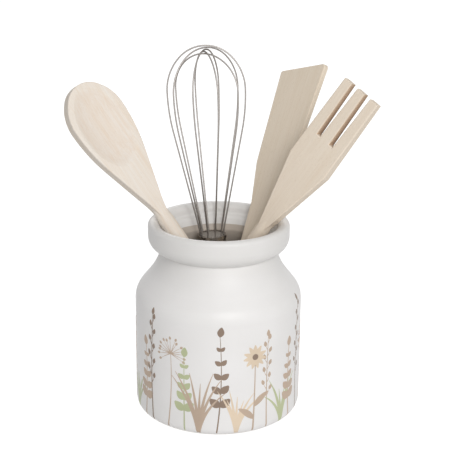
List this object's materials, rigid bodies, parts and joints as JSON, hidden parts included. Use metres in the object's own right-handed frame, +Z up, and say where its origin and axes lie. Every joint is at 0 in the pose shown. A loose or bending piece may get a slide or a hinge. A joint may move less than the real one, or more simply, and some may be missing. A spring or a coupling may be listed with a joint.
{
  "type": "utensil crock",
  "caption": "Glazed stoneware utensil crock with a sloped shoulder and rolled collar rim, holding lift-out pale wood kitchen tools and a steel balloon whisk.",
  "frame": {"origin": "centre of the crock's foot, on the surface that it stands on", "axes": "+Z up the crock's axis, -Y to the front of the picture, +X to its right"},
  "size_m": [0.2311, 0.128, 0.2783],
  "materials": {
    "glaze": "satin white glaze with a printed band",
    "spoon_wood": "sanded pale beech, unoiled",
    "spatula_wood": "sanded pale beech, unoiled",
    "fork_wood": "sanded pale beech, unoiled",
    "handle_steel": "satin stainless steel",
    "wire_steel": "bright stainless wire",
    "plug": "cast grey resin"
  },
  "bodies": {
    "crock": {"crock": "glaze"},
    "spoon": {"wooden_spoon": "spoon_wood"},
    "spatula": {"wooden_spatula": "spatula_wood"},
    "fork": {"wooden_fork": "fork_wood"},
    "whisk": {"whisk_handle": "handle_steel", "whisk_wire_plug": "plug", "whisk_end_cap": "handle_steel", "whisk_hang_loop": "wire_steel", "whisk_wire_1": "wire_steel", "whisk_wire_2": "wire_steel", "whisk_wire_3": "wire_steel", "whisk_wire_4": "wire_steel", "whisk_wire_5": "wire_steel"}
  },
  "joints": [
    {"name": "spoon_lift", "type": "slide", "parent": "crock", "child": "spoon", "axis": [-0.5543, 0.071, 0.8293], "range_m": [0, 0.18]},
    {"name": "spatula_lift", "type": "slide", "parent": "crock", "child": "spatula", "axis": [0.2873, 0.2087, 0.9348], "range_m": [0, 0.165]},
    {"name": "fork_lift", "type": "slide", "parent": "crock", "child": "fork", "axis": [0.5427, -0.081, 0.836], "range_m": [0, 0.18]},
    {"name": "whisk_lift", "type": "slide", "parent": "crock", "child": "whisk", "axis": [-0.0437, 0.0328, 0.9985], "range_m": [0, 0.155]}
  ]
}
